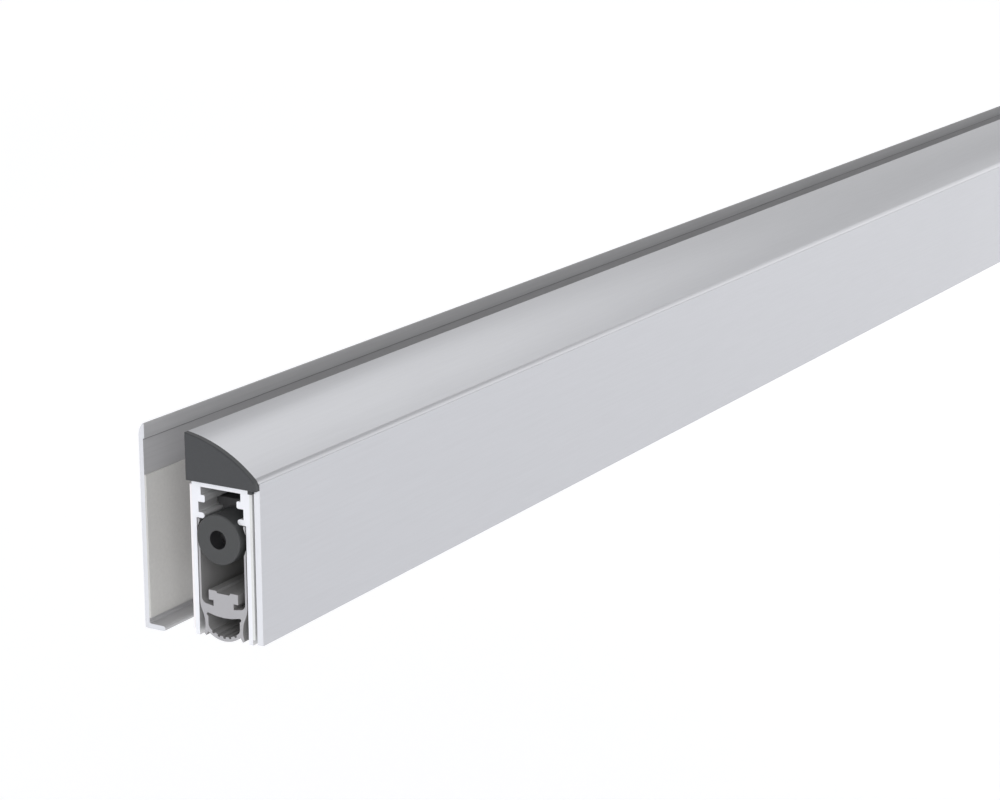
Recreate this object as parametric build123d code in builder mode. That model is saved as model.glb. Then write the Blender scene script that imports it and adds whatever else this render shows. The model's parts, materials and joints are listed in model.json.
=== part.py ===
from build123d import *
from math import acos, cos, degrees, radians, sin, tan
import os

os.makedirs("parts", exist_ok=True)

# An automatic drop-down bottom seal for a frameless glass door, with its clip-on front cover
# and the back plate that goes on the other face of the glass.
# X runs along the door, from the push button to the lock side. Y = 0 is the adhesive face
# that goes on the glass, and +Y goes through the glass to the back plate. Z is up.
# The origin is the middle of the housing's glass side.
# Sections are drawn in w and h: w is the distance from the glass face towards the cover,
# and h is the height above the housing's lower edge. u is w counted from the housing's middle.
# Places along the seal are s, the distance from the button end of the housing.

# overall
length = 585.0
glass_gap = 10.1              # glass between the two adhesive faces

# adhesive tapes
glass_tape_thickness = 0.45
cover_tape_thickness = 0.55
plate_tape_thickness = 0.4
tape_top_inset = 0.65
tape_bottom_inset = 1.1

# housing extrusion
housing_width = 13.0
housing_height = 30.0
housing_web = 0.9
head_wall = 2.0               # wall beside the rod chamber
slot_wall = 1.4               # wall beside the slide slot
skirt_wall = 0.9              # wall beside the seal
chamber_height = 1.55
upper_rib_height = 1.4
upper_rib_opening = 7.2
slot_height = 2.0
lower_rib_height = 1.1
lower_rib_opening = 7.5
upper_rib_round = 0.35

# front cover extrusion
cover_gap = 0.5               # between the cover and the tape on the housing
cover_wall = 1.3
cover_web = 1.2
cover_seat = 0.3              # web above the housing
cover_rise = 9.45             # top edge above the housing
cover_radius = 28.0
cover_slope = 8.0             # degrees, at the glass
cover_corner = 2.7            # fillet, where the front wall leaves room for it
cover_corner_room = 0.9       # share of that wall that the fillet may take
cover_lift = 0.3              # lower edge above the housing's lower edge

# end caps
cap_flange = 1.3
cap_plug_depth = 8.0
cap_plug_wall = 1.1
cap_play = 0.1
cap_tooth_depth = 3.0
cap_edge_round = 0.25

# back plate extrusion
plate_sheet = 1.0
plate_lip = 0.3               # lip proud of the sheet
plate_lip_height = 2.9
plate_rise = 9.4              # top edge above the housing
plate_crest = 0.35            # flat on the top edge
plate_crown = 2.4             # height of the rounded outer corner
plate_tape_height = 28.2
plate_tape_start = 1.2
foot_reach = 4.7
foot_thickness = 1.0
foot_top = 0.1                # glass seat above the housing's lower edge
foot_fillet = 0.4
foot_heel = 0.35
foot_nose = 0.48              # rounding of the foot's free edge

# drop seal
seal_play = 0.2               # beside the housing's skirt
seal_wall = 0.45
seal_wall_gap = 0.15          # below the lower ribs
head_half = 3.33
head_top = 9.3
head_under = 7.38
head_recess = 0.4
recess_half = 1.35
recess_slope = 0.3
stem_half = 2.28
pocket_floor = 6.22
pocket_rise = 0.23
pocket_radius = 1.25
shoulder_top = 7.2
shoulder_bottom = 2.4
bulb_half = 4.3
bulb_radius = 5.8
bulb_drop = 0.35              # below the housing's lower edge, seal raised
fin_root = 3.7                # from the seal's middle
fin_top = 1.6
fin_flare = 0.3
fin_tip = 0.4
fin_height = 1.05
air_top = 4.25
air_bow = 0.5
air_half = 3.6
air_lobe = 0.34               # round corners of the hollow's top
air_floor = 0.55
air_foot = 1.75
groove_count = 5
groove_pitch = 1.25
groove_radius = 0.32
groove_sink = 0.08

# carrier rail of the seal
carrier_inset = 14.0          # from each end of the housing
carrier_wall = 0.8
carrier_play = 0.2
carrier_lip = 0.55

# push button and adjusting screw
button_diameter = 9.7
button_drop = 3.25            # axis below the room for the seal
button_proud = 1.15
button_length = 6.2
button_edge = 0.2
notch_play = 0.75             # round the button, in the seal's side walls
notch_depth = 7.0
key_hole_diameter = 3.6
key_hole_depth = 3.4
screw_head_diameter = 6.4
screw_head_length = 1.8
screw_diameter = 5.0
screw_length = 19.0           # below the head
screw_end_chamfer = 0.5
socket_across_flats = 2.0
socket_depth = 1.3
turning_play = 0.08           # round the screw and its head

# slide blocks, anchors and push rod
push_stroke = 6.0
slide_play = 0.25
block_play = 0.3              # beside the slot and the upper ribs
seal_to_block = 0.4
slider_start = 5.5
slider_length = 26.0
slider_front_length = 10.0
slider_front_depth = 4.8      # below the button's axis
slider_end_wall = 4.0         # behind the screw's bore
boss_start = 8.0              # from the slider's front face
block_length = 18.0
flange_chamfer = 0.5
rod_thickness = 1.1
rod_start = 8.5               # from the slider's front face
rod_pin_diameter = 2.5
rod_pin_sink = 3.2
rod_pin_start = 16.5          # from the slider's front face
anchor_screw_diameter = 3.0
anchor_screw_bottom = 17.0
fit_play = 0.05               # round pins, rivets and set screws

# leaf springs
spring_width = 7.0
spring_thickness = 0.4
spring_tab = 10.0
spring_run = 49.0
spring_seat = 12.0
spring_rise = 2.55            # from the under side of its seat to the top of its tabs
spring_inset = 2.0            # end face of the block to the start of the tab
rivet_diameter = 2.0
rivet_head_diameter = 3.6
rivet_head_height = 0.6
rivet_grip = 1.8
saddle_height = 0.85
saddle_length = 16.0
saddle_round = 1.0

# places in the section that follow from these sizes
base = -housing_height / 2
middle = glass_tape_thickness + housing_width / 2
housing_face = glass_tape_thickness + housing_width
cover_inner = housing_face + cover_tape_thickness + cover_gap
cover_face = cover_inner + cover_wall
chamber_ceiling = housing_height - housing_web
chamber_floor = chamber_ceiling - chamber_height
slot_ceiling = chamber_floor - upper_rib_height
slot_floor = slot_ceiling - slot_height
skirt_top = slot_floor - lower_rib_height
chamber_half = housing_width / 2 - head_wall
slot_half = housing_width / 2 - slot_wall
skirt_half = housing_width / 2 - skirt_wall
seal_half = skirt_half - seal_play
seal_inner = seal_half - seal_wall
button_height = skirt_top - button_drop
near_end = -length / 2


def section(s):
    """Section plane through the seal: w towards the cover, h up from the housing's lower edge."""
    return Plane(origin=(near_end + s, 0, base), x_dir=(0, -1, 0), z_dir=(-1, 0, 0))


def mid_section(s):
    """The same plane, with u counted from the housing's middle."""
    return Plane(origin=(near_end + s, -middle, base), x_dir=(0, -1, 0), z_dir=(-1, 0, 0))


def level(s, h):
    """Horizontal plane on the housing's middle, at a height above its lower edge."""
    return Plane(origin=(near_end + s, -middle, base + h), x_dir=(1, 0, 0), z_dir=(0, 0, 1))


def side_view(s):
    """Upright plane on the housing's middle, seen from the cover: along the seal and h up."""
    return Plane(origin=(near_end + s, -middle, base), x_dir=(1, 0, 0), z_dir=(0, -1, 0))


def round_cut(s, diameter, depth):
    """Round cut on the button's axis, from a place along the seal to a depth."""
    with BuildSketch(mid_section(s)) as opening:
        with Locations((0, button_height)):
            Circle(diameter / 2)
    extrude(opening.sketch, amount=-depth, mode=Mode.SUBTRACT)


def strip(half, bottom, top, mode=Mode.ADD):
    """Rectangle about the middle of the section, between two heights."""
    with Locations((0, bottom)):
        Rectangle(2 * half, top - bottom, align=(Align.CENTER, Align.MIN), mode=mode)


# Housing: an inverted U. Two pairs of inner ribs leave a chamber for the push rod,
# a slot for the slide blocks and, below them, the room that the seal moves in.
with BuildPart() as housing_profile:
    with BuildSketch(mid_section(0)):
        strip(housing_width / 2, 0, housing_height)
        with BuildLine():
            Polyline(
                (0, 0),
                (skirt_half, 0),
                (skirt_half, slot_floor),
                (slot_half, slot_floor),
                (slot_half, slot_ceiling),
                (chamber_half, slot_ceiling),
                (chamber_half, chamber_ceiling),
                (0, chamber_ceiling),
                close=True,
            )
        cavity = make_face(mode=Mode.PRIVATE)
        add(cavity, mode=Mode.SUBTRACT)
        add(cavity.mirror(Plane.YZ), mode=Mode.SUBTRACT)
        # The outer end of each rib is inside its wall.
        upper_rib = (housing_width - upper_rib_opening - slot_wall) / 2
        lower_rib = (housing_width - lower_rib_opening - skirt_wall / 2) / 2
        upper_rib_at = (upper_rib_opening + upper_rib) / 2
        lower_rib_at = (lower_rib_opening + lower_rib) / 2
        for side in (-1, 1):
            with Locations((side * upper_rib_at, slot_ceiling + upper_rib_height / 2)):
                RectangleRounded(upper_rib, upper_rib_height, upper_rib_round)
            with Locations((side * lower_rib_at, skirt_top + lower_rib_height / 2)):
                SlotOverall(lower_rib, lower_rib_height)
    extrude(amount=-length)

# Tapes: the glass tape and the plate tape face each other across the glass.
with BuildPart() as glass_side_tape:
    with BuildSketch(section(0)):
        with Locations((0, tape_bottom_inset)):
            tape_height = housing_height - tape_bottom_inset - tape_top_inset
            Rectangle(glass_tape_thickness, tape_height, align=(Align.MIN, Align.MIN))
    extrude(amount=-length)

with BuildPart() as cover_side_tape:
    with BuildSketch(section(0)):
        with Locations((housing_face, tape_bottom_inset)):
            Rectangle(cover_tape_thickness, tape_height, align=(Align.MIN, Align.MIN))
    extrude(amount=-length)

with BuildPart() as back_plate_tape:
    with BuildSketch(section(0)):
        with Locations((-glass_gap, plate_tape_start)):
            Rectangle(plate_tape_thickness, plate_tape_height, align=(Align.MAX, Align.MIN))
    extrude(amount=-length)

# Back plate: a thin sheet with a thicker lip and rounded back at the top,
# and a hooked foot that the lower edge of the glass stands on.
with BuildPart() as back_plate:
    sheet_face = -(glass_gap + plate_tape_thickness)
    plate_face = sheet_face - plate_sheet
    lip_face = sheet_face + plate_lip
    plate_top = housing_height + plate_rise
    foot_tip = plate_face + foot_reach
    foot_bottom = foot_top - foot_thickness
    with BuildSketch(section(0)):
        with BuildLine():
            crown = TangentArc(
                (plate_face, plate_top - plate_crown),
                (lip_face - plate_crest, plate_top),
                tangent=(0, 1),
            )
            Polyline(
                crown @ 1,
                (lip_face, plate_top),
                (lip_face, plate_top - plate_lip_height),
                (sheet_face, plate_top - plate_lip_height),
                (sheet_face, foot_top),
                (foot_tip, foot_top),
                (foot_tip, foot_bottom),
                (plate_face, foot_bottom),
                crown @ 0,
            )
        make_face()
        low = vertices().sort_by(Axis.Y)
        fillet(low[:2].sort_by(Axis.X)[0], foot_heel)
        fillet(vertices().filter_by_position(Axis.X, foot_tip, foot_tip), foot_nose)
        inner_corners = vertices().filter_by_position(Axis.X, sheet_face, sheet_face)
        fillet(inner_corners.sort_by(Axis.Y)[0], foot_fillet)
    extrude(amount=-length)

# Cover: a closed, crowned chamber above the housing and one long front wall.
crown_top = housing_height + cover_rise
crown_bottom = housing_height + cover_seat
crown_centre = (
    -cover_radius * sin(radians(cover_slope)),
    crown_top - cover_radius * cos(radians(cover_slope)),
)
crown_end = degrees(acos((cover_face - crown_centre[0]) / cover_radius))
crown_shoulder = crown_centre[1] + cover_radius * sin(radians(crown_end)) - crown_bottom
crown_corner = min(cover_corner, cover_corner_room * crown_shoulder / tan(radians(crown_end / 2)))


def crown_outline():
    """Outline of the cover above its web, also that of the end caps."""
    with BuildLine() as crown_edge:
        arc = CenterArc(crown_centre, cover_radius, 90 - cover_slope, crown_end - 90 + cover_slope)
        Polyline(arc @ 1, (cover_face, crown_bottom), (0, crown_bottom), arc @ 0)
    make_face(crown_edge.edges())
    fillet(vertices().group_by(Axis.X)[-1].sort_by(Axis.Y)[-1], crown_corner)


with BuildPart() as cover_profile:
    with BuildSketch(section(0)):
        crown_outline()
        offset(amount=-cover_wall, kind=Kind.INTERSECTION, mode=Mode.SUBTRACT)
    extrude(amount=-length)
    with BuildSketch(section(0)):
        with Locations((cover_inner, cover_lift)):
            Rectangle(cover_wall, crown_bottom + cover_web - cover_lift, align=(Align.MIN, Align.MIN))
    extrude(amount=-length)


def end_cap(face, outward):
    """Cap over the cover's chamber: a flange, a hollow plug and a tooth in the gap below."""
    with BuildPart() as cap:
        with BuildSketch(section(face)):
            crown_outline()
        extrude(amount=outward * cap_flange)
        fillet(faces().sort_by(Axis.X)[0 if outward > 0 else -1].edges(), cap_edge_round)
        with BuildSketch(section(face)):
            crown_outline()
            offset(amount=-cover_wall - cap_play, kind=Kind.INTERSECTION, mode=Mode.REPLACE)
            offset(amount=-cap_plug_wall, kind=Kind.INTERSECTION, mode=Mode.SUBTRACT)
        extrude(amount=-outward * cap_plug_depth)
        tooth_bottom = housing_height - tape_top_inset + cap_play
        tooth_width = cover_inner - housing_face - 2 * cap_play
        tooth_height = crown_bottom - tooth_bottom
        with BuildSketch(section(face)):
            with Locations((housing_face + cap_play, tooth_bottom)):
                Rectangle(tooth_width, tooth_height, align=(Align.MIN, Align.MIN))
        extrude(amount=-outward * cap_tooth_depth)
        with BuildSketch(section(face)):
            with Locations((housing_face + cap_play, tooth_bottom)):
                Rectangle(tooth_width, tooth_height + cap_flange, align=(Align.MIN, Align.MIN))
        extrude(amount=outward * cap_flange / 2)
    return cap


end_cap_near = end_cap(0, 1)
end_cap_far = end_cap(length, -1)

# Drop seal: side walls that run up inside the housing, a headed stem for the carrier rail,
# and a hollow bulb with grooves inside and a fin at each side.
with BuildPart() as seal_profile:
    with BuildSketch(mid_section(0)):
        bulb_centre = bulb_radius - bulb_drop
        air_side = air_top + air_bow
        air_chord = air_half - air_floor / 2
        fin_root_height = bulb_centre - (bulb_radius**2 - fin_root**2) ** 0.5
        with BuildLine():
            shoulder_half = (seal_half + bulb_half) / 2
            shoulder_middle = (shoulder_top + shoulder_bottom) / 2
            Line((seal_half, skirt_top - seal_wall_gap), (seal_half, shoulder_top))
            TangentArc((seal_half, shoulder_top), (shoulder_half, shoulder_middle), tangent=(0, -1))
            TangentArc((bulb_half, shoulder_bottom), (shoulder_half, shoulder_middle), tangent=(0, 1))
            Polyline(
                (bulb_half, shoulder_bottom),
                (bulb_half, fin_top),
                (bulb_half + fin_flare, fin_top - fin_height),
                (bulb_half + fin_flare - fin_tip, fin_top - fin_height - fin_tip),
                (fin_root, fin_root_height),
            )
            half_turn = degrees(acos(fin_root / bulb_radius))
            bulb = CenterArc((0, bulb_centre), bulb_radius, -half_turn, half_turn - 90)
            Polyline(
                bulb @ 1,
                (0, head_top - head_recess),
                (recess_half, head_top - head_recess),
                (recess_half + recess_slope, head_top),
                (head_half, head_top),
                (head_half, head_under),
                (stem_half, head_under),
                (stem_half, pocket_floor),
                (seal_inner - pocket_radius, pocket_floor + pocket_rise),
            )
            TangentArc(
                (seal_inner, pocket_floor + pocket_rise + pocket_radius),
                (seal_inner - pocket_radius, pocket_floor + pocket_rise),
                tangent=(0, -1),
            )
            Polyline(
                (seal_inner, pocket_floor + pocket_rise + pocket_radius),
                (seal_inner, skirt_top - seal_wall_gap),
                (seal_half, skirt_top - seal_wall_gap),
            )
        half_seal = make_face(mode=Mode.PRIVATE)
        add(half_seal)
        add(half_seal.mirror(Plane.YZ))
        with BuildLine():
            ThreePointArc((-air_half, air_side), (0, air_top), (air_half, air_side))
            Polyline((air_half, air_side), (air_half, air_foot + air_floor), (air_chord, air_foot))
            ThreePointArc((air_chord, air_foot), (0, air_floor), (-air_chord, air_foot))
            Polyline((-air_chord, air_foot), (-air_half, air_foot + air_floor), (-air_half, air_side))
        make_face(mode=Mode.SUBTRACT)
        for side in (-1, 1):
            with Locations((side * air_half, air_side - air_lobe)):
                Circle(air_lobe, mode=Mode.SUBTRACT)
        air_sag = air_foot - air_floor
        groove_arc = (air_chord**2 + air_sag**2) / (2 * air_sag)
        for k in range(groove_count):
            u = (k - (groove_count - 1) / 2) * groove_pitch
            h = air_floor + groove_arc - (groove_arc**2 - u**2) ** 0.5 - groove_sink
            with Locations((u, h)):
                Circle(groove_radius, mode=Mode.SUBTRACT)
    extrude(amount=-length)
    round_cut(0, button_diameter + 2 * notch_play, notch_depth)

# Carrier rail: a C that is slid over the seal's head, with its lips under it.
carrier_head = head_half + carrier_play
carrier_half = carrier_head + carrier_wall
carrier_under = head_top + carrier_play / 2
carrier_top = carrier_under + carrier_wall
lip_top = head_under - carrier_play / 2
with BuildPart() as carrier_rail:
    with BuildSketch(mid_section(carrier_inset)):
        strip(carrier_half, lip_top - carrier_lip, carrier_top)
        strip(carrier_head, lip_top, carrier_under, mode=Mode.SUBTRACT)
        strip(stem_half + carrier_play, lip_top - carrier_lip, lip_top, mode=Mode.SUBTRACT)
    extrude(amount=-(length - 2 * carrier_inset))

# Slide blocks hang by a flange in the housing's slot. Two are pushed along with the rod,
# and two anchors stay where their set screws jack them against the housing's web.
block_half = seal_inner - seal_to_block
block_bottom = carrier_top + saddle_height + spring_rise
flange_bottom = slot_floor + slide_play
flange_top = slot_ceiling - slide_play
body_top = skirt_top - slide_play
rod_bottom = chamber_floor + slide_play


def hanging_block(start, size, bottom):
    """Block with its flange in the slot, a neck between the lower ribs and a body below them."""
    with BuildSketch(mid_section(start)) as hung:
        strip(slot_half - block_play, flange_bottom, flange_top)
        chamfer(vertices().group_by(Axis.Y)[0], flange_chamfer)
        strip(lower_rib_opening / 2 - slide_play, body_top, flange_bottom)
        strip(block_half, bottom, body_top)
    extrude(hung.sketch, amount=-size)


def rod_boss(start, size):
    """Boss that rises between the upper ribs to carry the push rod."""
    with BuildSketch(mid_section(start)) as raised:
        strip(upper_rib_opening / 2 - block_play, flange_top, rod_bottom)
    extrude(raised.sketch, amount=-size)


def upright_hole(s, bottom, top, diameter):
    """Round hole along Z between two heights."""
    with BuildSketch(level(s, bottom)) as opening:
        Circle(diameter / 2)
    extrude(opening.sketch, amount=top - bottom, mode=Mode.SUBTRACT)


# stations along the seal
spring_length = 2 * spring_tab + 2 * spring_run + spring_seat
near_spring = slider_start + slider_length - spring_tab
far_spring = length - near_spring - spring_length
near_anchor = near_spring + spring_length - spring_tab - spring_inset
far_anchor = near_anchor + far_spring - near_spring
far_slider = far_spring + spring_tab + spring_inset - block_length
near_pin = slider_start + rod_pin_start
far_pin = far_slider + block_length / 2
rivet_hole = rivet_diameter + 2 * fit_play
pin_hole = rod_pin_diameter + 2 * fit_play
screw_hole = anchor_screw_diameter + 2 * fit_play
rivet_top = block_bottom + rivet_grip

with BuildPart() as slider_block:
    hanging_block(slider_start, slider_front_length, button_height - slider_front_depth)
    hanging_block(slider_start + slider_front_length, slider_length - slider_front_length, block_bottom)
    rod_boss(slider_start + boss_start, slider_length - boss_start)
    round_cut(slider_start, screw_diameter + 2 * turning_play, slider_length - slider_end_wall)
    upright_hole(near_pin, rod_bottom - rod_pin_sink, rod_bottom, pin_hole)
    upright_hole(near_spring + spring_tab / 2, block_bottom, rivet_top, rivet_hole)

with BuildPart() as far_slider_block:
    hanging_block(far_slider, block_length, block_bottom)
    rod_boss(far_slider, block_length)
    upright_hole(far_pin, rod_bottom - rod_pin_sink, rod_bottom, pin_hole)
    upright_hole(far_spring + spring_tab / 2, block_bottom, rivet_top, rivet_hole)

anchors = []
for anchor, spring in ((near_anchor, near_spring), (far_anchor, far_spring)):
    with BuildPart() as anchor_block:
        hanging_block(anchor, block_length, block_bottom)
        upright_hole(anchor + block_length / 2, anchor_screw_bottom, flange_top, screw_hole)
        upright_hole(spring + spring_length - spring_tab / 2, block_bottom, rivet_top, rivet_hole)
    anchors.append(anchor_block)

with BuildPart() as anchor_screws:
    for anchor in (near_anchor, far_anchor):
        with BuildSketch(level(anchor + block_length / 2, anchor_screw_bottom)):
            Circle(anchor_screw_diameter / 2)
        extrude(amount=chamber_ceiling - fit_play - anchor_screw_bottom)

# Push rod: a flat bar on the upper ribs. Its long slot clears the anchor screw over the stroke.
with BuildPart() as push_rod:
    rod_from = slider_start + rod_start
    rod_to = far_slider + block_length
    with BuildSketch(level(rod_from, rod_bottom)):
        Rectangle(rod_to - rod_from, 2 * (chamber_half - block_play), align=(Align.MIN, Align.CENTER))
        with Locations((near_pin - rod_from, 0), (far_pin - rod_from, 0)):
            Circle(pin_hole / 2, mode=Mode.SUBTRACT)
        slot_width = anchor_screw_diameter + 2 * block_play
        with Locations((near_anchor + (block_length - push_stroke) / 2 - rod_from, 0)):
            SlotOverall(slot_width + push_stroke, slot_width, mode=Mode.SUBTRACT)
    extrude(amount=rod_thickness)

with BuildPart() as push_rod_pins:
    for pin in (near_pin, far_pin):
        with BuildSketch(level(pin, rod_bottom - rod_pin_sink)):
            Circle(rod_pin_diameter / 2)
        extrude(amount=rod_pin_sink + rod_thickness)

# Leaf springs: flat tabs under the blocks and a flat seat on the saddle, joined by two long bends.
# Pushing the sliding tab towards the anchor bows the spring down and drops the seal.
high = block_bottom - spring_thickness / 2
low = carrier_top + saddle_height + spring_thickness / 2
half_way = (high + low) / 2
bend = spring_run / 2
seat_from = spring_tab + spring_run
seat_to = seat_from + spring_seat
springs = []
for start in (near_spring, far_spring):
    with BuildPart() as leaf_spring:
        with BuildSketch(side_view(start)):
            with BuildLine():
                Line((0, high), (spring_tab, high))
                TangentArc((spring_tab, high), (spring_tab + bend, half_way), tangent=(1, 0))
                TangentArc((seat_from, low), (spring_tab + bend, half_way), tangent=(-1, 0))
                Line((seat_from, low), (seat_to, low))
                TangentArc((seat_to, low), (seat_to + bend, half_way), tangent=(1, 0))
                TangentArc((seat_to + spring_run, high), (seat_to + bend, half_way), tangent=(-1, 0))
                Line((seat_to + spring_run, high), (spring_length, high))
            trace(line_width=spring_thickness)
        extrude(amount=spring_width / 2, both=True)
        for place in (spring_tab / 2, spring_length / 2, spring_length - spring_tab / 2):
            upright_hole(start + place, carrier_top, block_bottom + spring_thickness, rivet_hole)
    springs.append(leaf_spring)

saddles = []
for start in (near_spring, far_spring):
    with BuildPart() as spring_saddle:
        with BuildSketch(level(start + spring_length / 2, carrier_top)):
            RectangleRounded(saddle_length, spring_width, saddle_round)
        extrude(amount=saddle_height)
        upright_hole(start + spring_length / 2, carrier_top, carrier_top + saddle_height, rivet_hole)
    saddles.append(spring_saddle)


def rivet(s, seat, grip, upward):
    """Rivet with its head's flat face on the spring at a height, and its shank through it."""
    with BuildPart() as one:
        with BuildSketch(level(s, seat)):
            Circle(rivet_head_diameter / 2)
        extrude(amount=upward * rivet_head_height)
        chamfer(faces().sort_by(Axis.Z)[-1 if upward > 0 else 0].edges(), rivet_head_height / 2)
        with BuildSketch(level(s, seat)):
            Circle(rivet_diameter / 2)
        extrude(amount=-upward * grip)
    return one.part


tab_under = block_bottom - spring_thickness
tab_grip = spring_thickness + rivet_grip - fit_play
seat_top = carrier_top + saddle_height + spring_thickness

with BuildPart() as slider_rivets:
    for spring in (near_spring, far_spring):
        add(rivet(spring + spring_tab / 2, tab_under, tab_grip, -1))

with BuildPart() as anchor_rivets:
    for spring in (near_spring, far_spring):
        add(rivet(spring + spring_length - spring_tab / 2, tab_under, tab_grip, -1))

with BuildPart() as saddle_rivets:
    for spring in (near_spring, far_spring):
        add(rivet(spring + spring_length / 2, seat_top, spring_thickness + saddle_height, 1))

# Push button: a plastic cap clipped over the adjusting screw's head, with a hole for the key.
button_front = -button_proud
head_front = button_front + key_hole_depth
head_back = head_front + screw_head_length
with BuildPart() as push_button:
    with BuildSketch(mid_section(button_front)):
        with Locations((0, button_height)):
            Circle(button_diameter / 2)
    extrude(amount=-button_length)
    chamfer(faces().sort_by(Axis.X)[0].edges(), button_edge)
    round_cut(button_front, key_hole_diameter, key_hole_depth)
    round_cut(head_front, screw_head_diameter + 2 * turning_play, screw_head_length + 2 * turning_play)
    round_cut(head_back, screw_diameter + 2 * turning_play, button_length - key_hole_depth)

with BuildPart() as adjusting_screw:
    with BuildSketch(mid_section(head_front + turning_play)):
        with Locations((0, button_height)):
            Circle(screw_head_diameter / 2)
    extrude(amount=-screw_head_length)
    with BuildSketch(mid_section(head_back)):
        with Locations((0, button_height)):
            Circle(screw_diameter / 2)
    extrude(amount=-screw_length)
    chamfer(faces().sort_by(Axis.X)[-1].edges(), screw_end_chamfer)
    with BuildSketch(mid_section(head_front + turning_play)):
        with Locations((0, button_height)):
            RegularPolygon(socket_across_flats / 2, 6, major_radius=False)
    extrude(amount=-socket_depth, mode=Mode.SUBTRACT)

pieces = {
    "back_plate": back_plate,
    "back_plate_tape": back_plate_tape,
    "housing_profile": housing_profile,
    "glass_side_tape": glass_side_tape,
    "cover_side_tape": cover_side_tape,
    "cover_profile": cover_profile,
    "end_cap_near": end_cap_near,
    "end_cap_far": end_cap_far,
    "seal_profile": seal_profile,
    "carrier_rail": carrier_rail,
    "spring_saddle_near": saddles[0],
    "spring_saddle_far": saddles[1],
    "saddle_rivets": saddle_rivets,
    "leaf_spring_near": springs[0],
    "leaf_spring_far": springs[1],
    "anchor_block_near": anchors[0],
    "anchor_block_far": anchors[1],
    "anchor_screws": anchor_screws,
    "anchor_rivets": anchor_rivets,
    "slider_block": slider_block,
    "far_slider_block": far_slider_block,
    "slider_rivets": slider_rivets,
    "push_rod": push_rod,
    "push_rod_pins": push_rod_pins,
    "push_button": push_button,
    "adjusting_screw": adjusting_screw,
}
for name, piece in pieces.items():
    piece.part.label = name
    export_step(piece.part, f"parts/{name}.step")
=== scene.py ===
import bpy
import json
from math import radians
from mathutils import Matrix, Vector


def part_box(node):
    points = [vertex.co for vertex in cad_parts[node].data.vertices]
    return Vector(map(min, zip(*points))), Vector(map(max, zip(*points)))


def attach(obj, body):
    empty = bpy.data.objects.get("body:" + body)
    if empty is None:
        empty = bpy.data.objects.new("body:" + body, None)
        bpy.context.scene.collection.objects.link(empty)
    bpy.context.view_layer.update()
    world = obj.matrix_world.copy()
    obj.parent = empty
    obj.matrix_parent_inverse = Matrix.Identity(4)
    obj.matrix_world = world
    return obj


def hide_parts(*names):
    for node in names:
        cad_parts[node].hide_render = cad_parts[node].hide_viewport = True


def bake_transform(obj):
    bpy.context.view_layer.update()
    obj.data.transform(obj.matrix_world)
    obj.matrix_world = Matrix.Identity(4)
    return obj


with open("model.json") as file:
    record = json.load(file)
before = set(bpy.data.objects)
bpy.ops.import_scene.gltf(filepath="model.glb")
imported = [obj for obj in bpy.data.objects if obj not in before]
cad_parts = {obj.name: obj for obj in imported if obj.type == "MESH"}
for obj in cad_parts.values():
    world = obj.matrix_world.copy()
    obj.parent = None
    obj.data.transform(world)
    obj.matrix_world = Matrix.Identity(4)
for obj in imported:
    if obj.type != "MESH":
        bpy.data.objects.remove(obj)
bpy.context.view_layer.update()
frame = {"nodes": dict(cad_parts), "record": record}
cadNodes = frame["nodes"]
print("frame loaded with", len(cadNodes), "nodes")


# helpers for materials
def newMaterial(name):
    made = bpy.data.materials.new(name)
    made.use_nodes = True
    made.node_tree.nodes.clear()
    return made, made.node_tree


def addNode(tree, kind, **values):
    made = tree.nodes.new(kind)
    for key, value in values.items():
        setattr(made, key, value)
    return made


# all sockets of a group are plain numbers: the inputs with their usual values, the outputs by name
def newGroup(name, inputs, outputs):
    made = bpy.data.node_groups.new(name, "ShaderNodeTree")
    for label, value in inputs.items():
        socket = made.interface.new_socket(label, in_out="INPUT", socket_type="NodeSocketFloat")
        socket.default_value = value
    for label in outputs:
        made.interface.new_socket(label, in_out="OUTPUT", socket_type="NodeSocketFloat")
    start = made.nodes.new("NodeGroupInput")
    end = made.nodes.new("NodeGroupOutput")
    return made, start, end


def useGroup(tree, group, **values):
    made = tree.nodes.new("ShaderNodeGroup")
    made.node_tree = group
    for key, value in values.items():
        made.inputs[key].default_value = value
    return made


def maths(tree, operation, first, second=None, clamp=False):
    made = addNode(tree, "ShaderNodeMath", operation=operation, use_clamp=clamp)
    for socketNumber, value in enumerate((first, second)):
        if value is None:
            continue
        if isinstance(value, (int, float)):
            made.inputs[socketNumber].default_value = value
        else:
            tree.links.new(value, made.inputs[socketNumber])
    return made.outputs[0]


# the first colour where the factor is 0, the second where it is 1
def mixColours(tree, factor, first, second):
    sockets = {"factor": 0, "first": 6, "second": 7, "result": 2}
    made = addNode(tree, "ShaderNodeMix", data_type="RGBA")
    tree.links.new(factor, made.inputs[sockets["factor"]])
    for side, value in (("first", first), ("second", second)):
        if isinstance(value, tuple):
            made.inputs[sockets[side]].default_value = (*value, 1.0)
        else:
            tree.links.new(value, made.inputs[sockets[side]])
    return made.outputs[sockets["result"]]


def ranged(tree, value, low, high, fromLow=0.0, fromHigh=1.0):
    made = addNode(tree, "ShaderNodeMapRange")
    made.inputs["From Min"].default_value = fromLow
    made.inputs["From Max"].default_value = fromHigh
    made.inputs["To Min"].default_value = low
    made.inputs["To Max"].default_value = high
    tree.links.new(value, made.inputs["Value"])
    return made.outputs["Result"]


# a grain as a small height of the surface
def bumped(tree, grain, strength, distance):
    made = addNode(tree, "ShaderNodeBump")
    made.inputs["Strength"].default_value = strength
    made.inputs["Distance"].default_value = distance
    tree.links.new(grain, made.inputs["Height"])
    return made.outputs[0]


def closeMaterial(tree, shell, colour, normal):
    tree.links.new(colour, shell.inputs["Base Color"])
    tree.links.new(normal, shell.inputs["Normal"])
    end = addNode(tree, "ShaderNodeOutputMaterial")
    tree.links.new(shell.outputs[0], end.inputs["Surface"])


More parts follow.
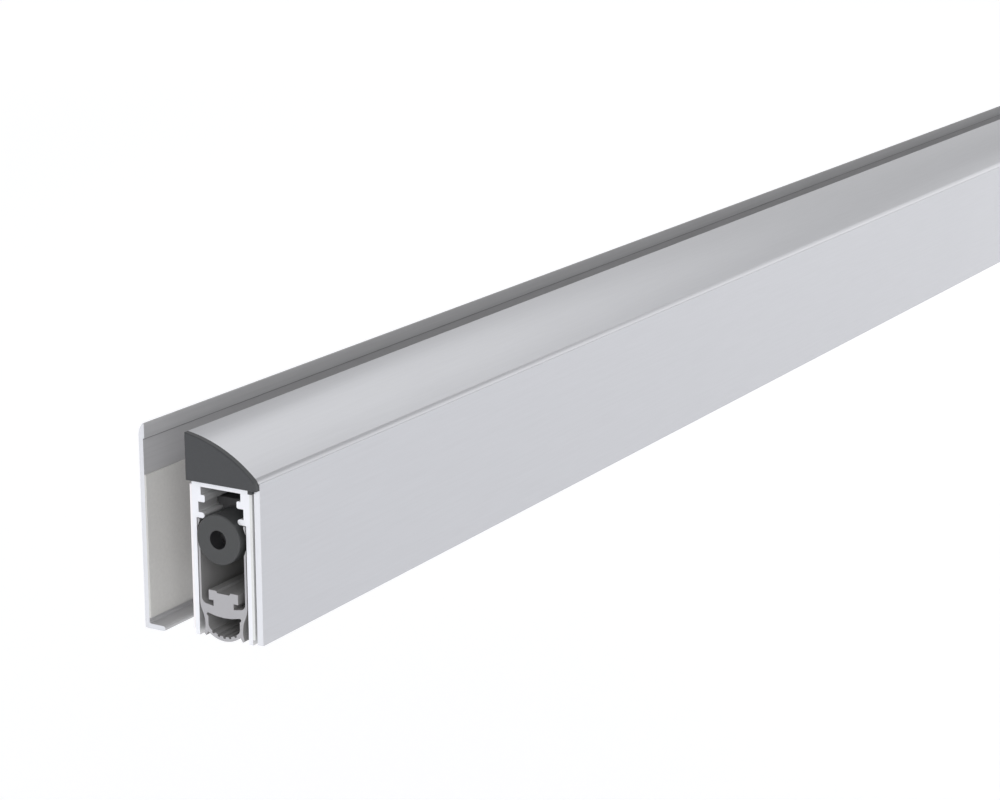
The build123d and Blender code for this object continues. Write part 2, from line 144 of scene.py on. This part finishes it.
# fine lines along the length of an extrusion, brushing and die lines, and large soft patches
def makeGrainGroup():
    look = {"across": 2600.0, "along": 14.0, "detail": 3.0, "patchScale": 22.0, "patchDetail": 2.0}
    group, start, end = newGroup(
        "lengthwiseGrain",
        {"Across": look["across"], "Along": look["along"], "Detail": look["detail"]},
        ("Grain", "Patches"),
    )
    place = addNode(group, "ShaderNodeTexCoord")
    scale = addNode(group, "ShaderNodeCombineXYZ")
    group.links.new(start.outputs["Along"], scale.inputs["X"])
    group.links.new(start.outputs["Across"], scale.inputs["Y"])
    group.links.new(start.outputs["Across"], scale.inputs["Z"])
    stretched = addNode(group, "ShaderNodeVectorMath", operation="MULTIPLY")
    group.links.new(place.outputs["Object"], stretched.inputs[0])
    group.links.new(scale.outputs[0], stretched.inputs[1])
    lines = addNode(group, "ShaderNodeTexNoise")
    lines.inputs["Scale"].default_value = 1.0
    group.links.new(start.outputs["Detail"], lines.inputs["Detail"])
    group.links.new(stretched.outputs[0], lines.inputs["Vector"])
    group.links.new(lines.outputs["Fac"], end.inputs["Grain"])
    patches = addNode(group, "ShaderNodeTexNoise")
    patches.inputs["Scale"].default_value = look["patchScale"]
    patches.inputs["Detail"].default_value = look["patchDetail"]
    group.links.new(place.outputs["Object"], patches.inputs["Vector"])
    group.links.new(patches.outputs["Fac"], end.inputs["Patches"])
    return group


# 1 on faces cut square to the length, 0 on the drawn faces
def makeCutGroup():
    look = {"sharpness": 0.9}
    group, start, end = newGroup("cutEnds", {"Sharpness": look["sharpness"]}, ("Cut",))
    facing = addNode(group, "ShaderNodeNewGeometry")
    parts = addNode(group, "ShaderNodeSeparateXYZ")
    group.links.new(facing.outputs["True Normal"], parts.inputs[0])
    steep = maths(group, "ABSOLUTE", parts.outputs["X"])
    cut = maths(group, "GREATER_THAN", steep, start.outputs["Sharpness"])
    group.links.new(cut, end.inputs["Cut"])
    return group


# light rubbing on outer edges, from the difference between a rounded normal and the flat one
def makeWearGroup():
    look = {
        "width": 0.0003, "amount": 1.0, "samples": 4,
        "gain": 4.0, "speckScale": 900.0, "speckDetail": 3.0,
    }
    group, start, end = newGroup(
        "edgeWear", {"Width": look["width"], "Amount": look["amount"]}, ("Wear",)
    )
    rounded = addNode(group, "ShaderNodeBevel", samples=look["samples"])
    group.links.new(start.outputs["Width"], rounded.inputs["Radius"])
    flat = addNode(group, "ShaderNodeNewGeometry")
    alike = addNode(group, "ShaderNodeVectorMath", operation="DOT_PRODUCT")
    group.links.new(rounded.outputs[0], alike.inputs[0])
    group.links.new(flat.outputs["Normal"], alike.inputs[1])
    turned = maths(group, "SUBTRACT", 1.0, alike.outputs["Value"])
    spread = maths(group, "MULTIPLY", turned, look["gain"], clamp=True)
    place = addNode(group, "ShaderNodeTexCoord")
    speck = addNode(group, "ShaderNodeTexNoise")
    speck.inputs["Scale"].default_value = look["speckScale"]
    speck.inputs["Detail"].default_value = look["speckDetail"]
    group.links.new(place.outputs["Object"], speck.inputs["Vector"])
    broken = maths(group, "MULTIPLY", spread, speck.outputs["Fac"])
    wear = maths(group, "MULTIPLY", broken, start.outputs["Amount"], clamp=True)
    group.links.new(wear, end.inputs["Wear"])
    return group


# small grains in every direction, for plastic, tape, rubber and steel
def makeSpeckleGroup():
    look = {"size": 2500.0, "detail": 2.0}
    group, start, end = newGroup(
        "speckle", {"Size": look["size"], "Detail": look["detail"]}, ("Speckle",)
    )
    place = addNode(group, "ShaderNodeTexCoord")
    grain = addNode(group, "ShaderNodeTexNoise")
    group.links.new(place.outputs["Object"], grain.inputs["Vector"])
    group.links.new(start.outputs["Size"], grain.inputs["Scale"])
    group.links.new(start.outputs["Detail"], grain.inputs["Detail"])
    group.links.new(grain.outputs["Fac"], end.inputs["Speckle"])
    return group


# 1 inside a round hole that runs along the length, 0 outside it
def makeBoreGroup():
    look = {"across": 0.0, "up": 0.0, "radius": 0.002}
    group, start, end = newGroup(
        "boreInside",
        {"Across": look["across"], "Up": look["up"], "Radius": look["radius"]},
        ("Inside",),
    )
    place = addNode(group, "ShaderNodeTexCoord")
    parts = addNode(group, "ShaderNodeSeparateXYZ")
    group.links.new(place.outputs["Object"], parts.inputs[0])
    sideways = maths(group, "SUBTRACT", parts.outputs["Y"], start.outputs["Across"])
    upwards = maths(group, "SUBTRACT", parts.outputs["Z"], start.outputs["Up"])
    sidewaysSquare = maths(group, "MULTIPLY", sideways, sideways)
    upwardsSquare = maths(group, "MULTIPLY", upwards, upwards)
    distance = maths(group, "SQRT", maths(group, "ADD", sidewaysSquare, upwardsSquare))
    inside = maths(group, "LESS_THAN", distance, start.outputs["Radius"])
    group.links.new(inside, end.inputs["Inside"])
    return group


# 1 between two heights, 0 above and below
def makeBandGroup():
    look = {"low": 0.0, "high": 0.001}
    group, start, end = newGroup(
        "heightBand", {"Low": look["low"], "High": look["high"]}, ("Band",)
    )
    place = addNode(group, "ShaderNodeTexCoord")
    parts = addNode(group, "ShaderNodeSeparateXYZ")
    group.links.new(place.outputs["Object"], parts.inputs[0])
    above = maths(group, "GREATER_THAN", parts.outputs["Z"], start.outputs["Low"])
    below = maths(group, "LESS_THAN", parts.outputs["Z"], start.outputs["High"])
    group.links.new(maths(group, "MULTIPLY", above, below), end.inputs["Band"])
    return group


grainGroup = makeGrainGroup()
cutGroup = makeCutGroup()
wearGroup = makeWearGroup()
speckleGroup = makeSpeckleGroup()
boreGroup = makeBoreGroup()
bandGroup = makeBandGroup()


# an aluminium extrusion: drawn faces with a lengthwise grain, sawn ends left bright
def aluminium(name, look):
    shared = {"grainFrom": 0.3, "grainTo": 0.7, "roughnessSpread": 0.03, "bumpHeight": 0.00002}
    material, tree = newMaterial(name)
    grain = useGroup(tree, grainGroup, Across=look["across"], Along=look["along"])
    cut = useGroup(tree, cutGroup)
    wear = useGroup(tree, wearGroup, Width=look["wearWidth"], Amount=look["wear"])
    lines = ranged(
        tree, grain.outputs["Grain"], 0.0, 1.0, shared["grainFrom"], shared["grainTo"]
    )
    skin = mixColours(tree, lines, look["dark"], look["light"])
    rubbed = mixColours(tree, wear.outputs["Wear"], skin, look["bare"])
    # painted shade: a dark band between two heights stands in for the shade under a lip
    if "paintedLipShadeAt" in look:
        paintedLipShadeLow = look["paintedLipShadeAt"] - look["paintedLipShadeWidth"]
        paintedLipShade = useGroup(tree, bandGroup, Low=paintedLipShadeLow, High=look["paintedLipShadeAt"])
        rubbed = mixColours(tree, paintedLipShade.outputs["Band"], rubbed, look["paintedLipShade"])
    colour = mixColours(tree, cut.outputs["Cut"], rubbed, look["sawn"])
    smoothest = look["roughness"] - shared["roughnessSpread"]
    roughest = look["roughness"] + shared["roughnessSpread"]
    roughness = ranged(tree, grain.outputs["Patches"], smoothest, roughest)
    normal = bumped(tree, grain.outputs["Grain"], look["bump"], shared["bumpHeight"])
    metal = addNode(tree, "ShaderNodeBsdfPrincipled")
    metal.inputs["Metallic"].default_value = look["metallic"]
    tree.links.new(roughness, metal.inputs["Roughness"])
    closeMaterial(tree, metal, colour, normal)
    return material


# plastic, tape and rubber: a small grain, a little bump and rubbed edges
def softFinish(name, look):
    shared = {"bumpHeight": 0.00003}
    material, tree = newMaterial(name)
    speckle = useGroup(tree, speckleGroup, Size=look["size"])
    wear = useGroup(tree, wearGroup, Width=look["wearWidth"], Amount=look["wear"])
    skin = mixColours(tree, speckle.outputs["Speckle"], look["dark"], look["light"])
    colour = mixColours(tree, wear.outputs["Wear"], skin, look["rubbed"])
    if "sawn" in look:
        cut = useGroup(tree, cutGroup)
        colour = mixColours(tree, cut.outputs["Cut"], colour, look["sawn"])
    # painted shade: the inside of a hole is painted darker in place of the shade in it
    if "bore" in look:
        across, up = look["boreAt"]
        hole = useGroup(tree, boreGroup, Across=across, Up=up, Radius=look["boreRadius"])
        colour = mixColours(tree, hole.outputs["Inside"], colour, look["bore"])
    normal = bumped(tree, speckle.outputs["Speckle"], look["bump"], shared["bumpHeight"])
    shell = addNode(tree, "ShaderNodeBsdfPrincipled")
    shell.inputs["Roughness"].default_value = look["roughness"]
    shell.inputs["Specular IOR Level"].default_value = look["shine"]
    closeMaterial(tree, shell, colour, normal)
    return material


# small steel parts: plated or rolled
def steel(name, look):
    shared = {"wearWidth": 0.00015, "bump": 0.15, "bumpHeight": 0.00002}
    material, tree = newMaterial(name)
    speckle = useGroup(tree, speckleGroup, Size=look["size"])
    wear = useGroup(tree, wearGroup, Width=shared["wearWidth"], Amount=look["wear"])
    skin = mixColours(tree, speckle.outputs["Speckle"], look["dark"], look["light"])
    colour = mixColours(tree, wear.outputs["Wear"], skin, look["rubbed"])
    normal = bumped(tree, speckle.outputs["Speckle"], shared["bump"], shared["bumpHeight"])
    metal = addNode(tree, "ShaderNodeBsdfPrincipled")
    metal.inputs["Metallic"].default_value = 1.0
    metal.inputs["Roughness"].default_value = look["roughness"]
    closeMaterial(tree, metal, colour, normal)
    return material


# the materials, one per slot
def coverAluminium():
    look = {
        "dark": (0.533, 0.538, 0.562), "light": (0.549, 0.555, 0.58),
        "bare": (0.62, 0.62, 0.635), "sawn": (0.74, 0.75, 0.785),
        "across": 1900.0, "along": 60.0, "roughness": 0.31, "bump": 0.035,
        "metallic": 0.85, "wear": 0.5, "wearWidth": 0.0003,
    }
    return aluminium("coverAluminium", look)


# the dark line under the plate's lip is painted shade: a dark band painted in place of the shade
# under the lip
def plateAluminium():
    lipHeight = 0.0029
    look = {
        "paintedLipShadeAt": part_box("back_plate")[1][2] - lipHeight,
        "paintedLipShadeWidth": 0.00028, "paintedLipShade": (0.25, 0.25, 0.255),
        "dark": (0.455, 0.455, 0.462), "light": (0.485, 0.485, 0.493),
        "bare": (0.6, 0.6, 0.615), "sawn": (0.68, 0.69, 0.725),
        "across": 2000.0, "along": 40.0, "roughness": 0.45, "bump": 0.05,
        "metallic": 0.25, "wear": 0.8, "wearWidth": 0.0003,
    }
    return aluminium("plateAluminium", look)


def housingAluminium():
    look = {
        "dark": (0.6, 0.6, 0.605), "light": (0.66, 0.66, 0.665),
        "bare": (0.8, 0.8, 0.82), "sawn": (0.82, 0.83, 0.87),
        "across": 1700.0, "along": 6.0, "roughness": 0.42, "bump": 0.12,
        "metallic": 0.5, "wear": 0.6, "wearWidth": 0.0002,
    }
    return aluminium("housingAluminium", look)


def carrierAluminium():
    look = {
        "dark": (0.4, 0.4, 0.41), "light": (0.48, 0.48, 0.49),
        "bare": (0.6, 0.6, 0.61), "sawn": (0.475, 0.475, 0.485),
        "across": 1700.0, "along": 6.0, "roughness": 0.42, "bump": 0.2,
        "metallic": 0.85, "wear": 0.6, "wearWidth": 0.0002,
    }
    return aluminium("carrierAluminium", look)


def glassTape():
    look = {
        "dark": (0.82, 0.8, 0.815), "light": (0.88, 0.86, 0.875), "rubbed": (0.9, 0.89, 0.9),
        "size": 1500.0, "bump": 0.3, "roughness": 0.7, "shine": 0.3,
        "wear": 0.3, "wearWidth": 0.0001,
    }
    return softFinish("glassTape", look)


def coverTape():
    look = {
        "dark": (0.66, 0.67, 0.665), "light": (0.72, 0.73, 0.725), "rubbed": (0.75, 0.76, 0.76),
        "size": 1500.0, "bump": 0.3, "roughness": 0.7, "shine": 0.3,
        "wear": 0.3, "wearWidth": 0.0001,
    }
    return softFinish("coverTape", look)


def plateTape():
    look = {
        "dark": (0.51, 0.505, 0.49), "light": (0.58, 0.575, 0.555), "rubbed": (0.6, 0.6, 0.58),
        "size": 1500.0, "bump": 0.25, "roughness": 0.6, "shine": 0.35,
        "wear": 0.3, "wearWidth": 0.0001,
    }
    return softFinish("plateTape", look)


def capPlastic():
    look = {
        "dark": (0.045, 0.047, 0.05), "light": (0.054, 0.056, 0.06), "rubbed": (0.11, 0.11, 0.115),
        "size": 3500.0, "bump": 0.2, "roughness": 0.45, "shine": 0.35,
        "wear": 0.5, "wearWidth": 0.0002,
    }
    return softFinish("capPlastic", look)


# painted shade: the key hole's wall is painted darker in place of the shade inside the hole, and
# this painted shade reaches a little past its wall, so that the wall is surely inside it
def buttonPlastic():
    hole = next(mount for mount in frame["record"]["mounts"] if mount["name"] == "key_hole")
    holeRadius = hole["dims"]["r_mm"] / 1000
    pastWall = 0.00004
    look = {
        "dark": (0.049, 0.051, 0.052), "light": (0.059, 0.061, 0.063), "rubbed": (0.1, 0.1, 0.103),
        "bore": (0.024, 0.024, 0.026), "boreAt": hole["pos_m"][1:],
        "boreRadius": holeRadius + pastWall,
        "size": 3000.0, "bump": 0.15, "roughness": 0.42, "shine": 0.35,
        "wear": 0.5, "wearWidth": 0.0002,
    }
    return softFinish("buttonPlastic", look)


def blockPlastic():
    look = {
        "dark": (0.044, 0.044, 0.046), "light": (0.063, 0.063, 0.066), "rubbed": (0.12, 0.12, 0.12),
        "size": 2500.0, "bump": 0.2, "roughness": 0.45, "shine": 0.4,
        "wear": 0.5, "wearWidth": 0.0002,
    }
    return softFinish("blockPlastic", look)


def sealSilicone():
    look = {
        "dark": (0.225, 0.222, 0.222), "light": (0.25, 0.247, 0.247),
        "rubbed": (0.29, 0.29, 0.29), "sawn": (0.39, 0.387, 0.402),
        "size": 1800.0, "bump": 0.2, "roughness": 0.62, "shine": 0.3,
        "wear": 0.2, "wearWidth": 0.0001,
    }
    return softFinish("sealSilicone", look)


def springSteel():
    look = {
        "dark": (0.3, 0.3, 0.31), "light": (0.46, 0.46, 0.47), "rubbed": (0.7, 0.7, 0.7),
        "size": 1600.0, "roughness": 0.3, "wear": 0.6,
    }
    return steel("springSteel", look)


def rodSteel():
    look = {
        "dark": (0.42, 0.42, 0.43), "light": (0.56, 0.56, 0.57), "rubbed": (0.75, 0.75, 0.75),
        "size": 900.0, "roughness": 0.38, "wear": 0.5,
    }
    return steel("rodSteel", look)


def rivetSteel():
    look = {
        "dark": (0.48, 0.48, 0.49), "light": (0.6, 0.6, 0.61), "rubbed": (0.8, 0.8, 0.8),
        "size": 1800.0, "roughness": 0.3, "wear": 0.5,
    }
    return steel("rivetSteel", look)


def screwSteel():
    look = {
        "dark": (0.46, 0.46, 0.47), "light": (0.54, 0.54, 0.55), "rubbed": (0.65, 0.65, 0.65),
        "size": 1800.0, "roughness": 0.35, "wear": 0.7,
    }
    return steel("screwSteel", look)


slotMaterials = {
    "cover_aluminium": coverAluminium,
    "plate_aluminium": plateAluminium,
    "housing_aluminium": housingAluminium,
    "carrier_aluminium": carrierAluminium,
    "glass_tape": glassTape,
    "cover_tape": coverTape,
    "plate_tape": plateTape,
    "cap_plastic": capPlastic,
    "button_plastic": buttonPlastic,
    "block_plastic": blockPlastic,
    "seal_silicone": sealSilicone,
    "spring_steel": springSteel,
    "rod_steel": rodSteel,
    "rivet_steel": rivetSteel,
    "screw_steel": screwSteel,
}


def dressCadNodes():
    made = {slotName: make() for slotName, make in slotMaterials.items()}
    for part in frame["record"]["subparts"]:
        piece = cadNodes[part["node"]]
        piece.data.materials.clear()
        piece.data.materials.append(made[part["material_slot"]])


dressCadNodes()
print("materials on all CAD nodes")


# a flat strip with broken corners, swept along a line of points
def springStrip(name, line, width, thickness):
    look = {"cornerShare": 0.3}
    corner = thickness * look["cornerShare"]
    side = width / 2
    face = thickness / 2
    ring = [
        (-side, face - corner), (-side + corner, face), (side - corner, face),
        (side, face - corner), (side, corner - face), (side - corner, -face),
        (corner - side, -face), (-side, corner - face),
    ]
    points = [(x, y + across, z + up) for x, y, z in line for across, up in ring]
    count = len(ring)
    faces = []
    for row in range(len(line) - 1):
        here = row * count
        after = (row + 1) * count
        for k in range(count):
            turn = (k + 1) % count
            faces.append((here + k, here + turn, after + turn, after + k))
    faces.append(tuple(range(count))[::-1])
    faces.append(tuple(range((len(line) - 1) * count, len(line) * count)))
    mesh = bpy.data.meshes.new(name)
    mesh.from_pydata(points, [], faces)
    mesh.update()
    strip = bpy.data.objects.new(name, mesh)
    bpy.context.scene.collection.objects.link(strip)
    return strip


# from the high end to the low end in one even curve, level at both
def springHeight(share, high, low):
    drop = 2 * share**2 if share < 0.5 else 1 - 2 * (1 - share) ** 2
    return high + (low - high) * drop


# leaf spring: the tab on the slide block slides over the near end of the arch,
# and the arch is one fixed curve
def makeLeafSpring(node, material):
    # the tab reaches past the rivets by more than the slide's travel, so they never meet the arch
    look = {
        "tab": 0.018, "overlap": 0.002, "anchorTab": 0.010,
        "seat": 0.012, "thickness": 0.0004, "steps": 28,
    }
    lowCorner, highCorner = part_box(node)
    middle = (lowCorner[1] + highCorner[1]) / 2
    width = highCorner[1] - lowCorner[1]
    high = highCorner[2] - look["thickness"] / 2
    low = lowCorner[2] + look["thickness"] / 2
    underTab = high - look["thickness"]
    run = (highCorner[0] - lowCorner[0] - 2 * look["anchorTab"] - look["seat"]) / 2
    seatStart = lowCorner[0] + look["anchorTab"] + run
    seatEnd = seatStart + look["seat"]
    tabEnd = lowCorner[0] + look["tab"]
    archStart = tabEnd - look["overlap"]
    shares = [step / look["steps"] for step in range(look["steps"] + 1)]
    archLine = []
    for share in shares:
        along = archStart + (seatStart - archStart) * share
        archLine.append((along, middle, springHeight(share, underTab, low)))
    for share in shares:
        along = seatEnd + run * share
        archLine.append((along, middle, springHeight(1 - share, high, low)))
    archLine.append((highCorner[0], middle, high))
    tabLine = [(lowCorner[0], middle, high), (tabEnd, middle, high)]
    arch = springStrip(node + "Arch", archLine, width, look["thickness"])
    tab = springStrip(node + "Tab", tabLine, width, look["thickness"])
    for piece in (arch, tab):
        piece.data.materials.append(material)
    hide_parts(node)
    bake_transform(arch)
    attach(tab, "push_train")


springMaterial = next(slot.material for slot in cadNodes["leaf_spring_near"].material_slots)
for springNode in ("leaf_spring_near", "leaf_spring_far"):
    makeLeafSpring(springNode, springMaterial)
print("leaf springs")


# 1 for what the camera, a mirror or a glass sees, 0 for the light that falls on the object
def seenBackground(tree):
    path = addNode(tree, "ShaderNodeLightPath")
    direct = maths(tree, "MAXIMUM", path.outputs["Is Camera Ray"], path.outputs["Is Glossy Ray"])
    return maths(tree, "MAXIMUM", direct, path.outputs["Is Transmission Ray"])


# where it is seen, white at the horizon and below and half as bright overhead
def makeWorld():
    look = {
        "light": (0.98, 0.985, 1.0), "level": 0.62, "seen": 1.0,
        "overhead": 0.5, "turnsAt": 0.12, "endsAt": 0.4,
    }
    world = bpy.data.worlds.new("studio")
    world.use_nodes = True
    bpy.context.scene.world = world
    tree = world.node_tree
    tree.nodes.clear()
    place = addNode(tree, "ShaderNodeTexCoord")
    parts = addNode(tree, "ShaderNodeSeparateXYZ")
    tree.links.new(place.outputs["Generated"], parts.inputs[0])
    upward = parts.outputs["Z"]
    shade = ranged(tree, upward, 1.0, look["overhead"], look["turnsAt"], look["endsAt"])
    grey = mixColours(tree, shade, (0.0, 0.0, 0.0), (1.0, 1.0, 1.0))
    white = addNode(tree, "ShaderNodeBackground")
    tree.links.new(grey, white.inputs["Color"])
    white.inputs["Strength"].default_value = look["seen"]
    soft = addNode(tree, "ShaderNodeBackground")
    soft.inputs["Color"].default_value = (*look["light"], 1.0)
    soft.inputs["Strength"].default_value = look["level"]
    pick = addNode(tree, "ShaderNodeMixShader")
    tree.links.new(seenBackground(tree), pick.inputs[0])
    tree.links.new(soft.outputs[0], pick.inputs[1])
    tree.links.new(white.outputs[0], pick.inputs[2])
    end = addNode(tree, "ShaderNodeOutputWorld")
    tree.links.new(pick.outputs[0], end.inputs["Surface"])


# painted, so that it keeps the object's shadow, and lifted just to white where it is seen,
# more where the lamps are far
def makeFloor():
    look = {
        "height": -0.3, "half": 6.0, "colour": (0.9, 0.9, 0.91),
        "liftNear": 0.23, "liftFar": 0.43, "reach": 3.2,
    }
    bpy.ops.mesh.primitive_plane_add(size=2 * look["half"], location=(0, 0, look["height"]))
    floor = bpy.context.object
    floor.name = "studioFloor"
    material, tree = newMaterial("floorWhite")
    paint = addNode(tree, "ShaderNodeBsdfDiffuse")
    paint.inputs["Color"].default_value = (*look["colour"], 1.0)
    glow = addNode(tree, "ShaderNodeEmission")
    glow.inputs["Color"].default_value = (1.0, 1.0, 1.0, 1.0)
    place = addNode(tree, "ShaderNodeTexCoord")
    distance = addNode(tree, "ShaderNodeVectorMath", operation="LENGTH")
    tree.links.new(place.outputs["Object"], distance.inputs[0])
    lift = ranged(
        tree, distance.outputs["Value"], look["liftNear"], look["liftFar"], 0.0, look["reach"]
    )
    tree.links.new(lift, glow.inputs["Strength"])
    lifted = addNode(tree, "ShaderNodeAddShader")
    tree.links.new(paint.outputs[0], lifted.inputs[0])
    tree.links.new(glow.outputs[0], lifted.inputs[1])
    pick = addNode(tree, "ShaderNodeMixShader")
    tree.links.new(seenBackground(tree), pick.inputs[0])
    tree.links.new(paint.outputs[0], pick.inputs[1])
    tree.links.new(lifted.outputs[0], pick.inputs[2])
    end = addNode(tree, "ShaderNodeOutputMaterial")
    tree.links.new(pick.outputs[0], end.inputs["Surface"])
    floor.data.materials.append(material)


def makeLamp(name, look):
    light = bpy.data.lights.new(name, "AREA")
    light.shape = "RECTANGLE"
    light.size, light.size_y = look["size"]
    light.energy = look["power"]
    light.color = look["colour"]
    lamp = bpy.data.objects.new(name, light)
    bpy.context.scene.collection.objects.link(lamp)
    lamp.location = look["place"]
    lamp.visible_glossy = look["mirrored"]
    aim = Vector(look["aim"]) - Vector(look["place"])
    lamp.rotation_euler = aim.to_track_quat("-Z", "Y").to_euler()


# the large end lamp stays out of mirrors, so the metal shows the white studio there, not the lamp
def makeLamps():
    endLook = {
        "place": (-2.4, -1.2, 1.0), "aim": (-0.29, 0, 0), "size": (3.0, 2.4),
        "power": 46.0, "colour": (1, 1, 1), "mirrored": False,
    }
    frontLook = {
        "place": (1.6, -1.4, 0.45), "aim": (0, 0, 0), "size": (3.2, 1.1),
        "power": 6.5, "colour": (1, 1, 1), "mirrored": True,
    }
    topLook = {
        "place": (1.4, 0.1, 1.5), "aim": (0, 0, 0), "size": (1.4, 1.2),
        "power": 4.0, "colour": (1, 1, 1), "mirrored": True,
    }
    makeLamp("endLamp", endLook)
    makeLamp("frontLamp", frontLook)
    makeLamp("topLamp", topLook)


def makeCamera():
    look = {
        "place": (-0.6563, -0.2766, 0.1500), "turn": (75.21, 0.0, -59.965),
        "lens": 92.14, "sensor": 36.0, "nearest": 0.01, "farthest": 50.0,
    }
    view = bpy.data.cameras.new("camera")
    view.lens = look["lens"]
    view.sensor_width = look["sensor"]
    view.clip_start = look["nearest"]
    view.clip_end = look["farthest"]
    camera = bpy.data.objects.new("camera", view)
    bpy.context.scene.collection.objects.link(camera)
    camera.location = look["place"]
    camera.rotation_euler = [radians(angle) for angle in look["turn"]]
    bpy.context.scene.camera = camera


makeWorld()
makeFloor()
makeLamps()
makeCamera()
bpy.context.scene.view_settings.view_transform = "Standard"
print("studio, lamps and camera")
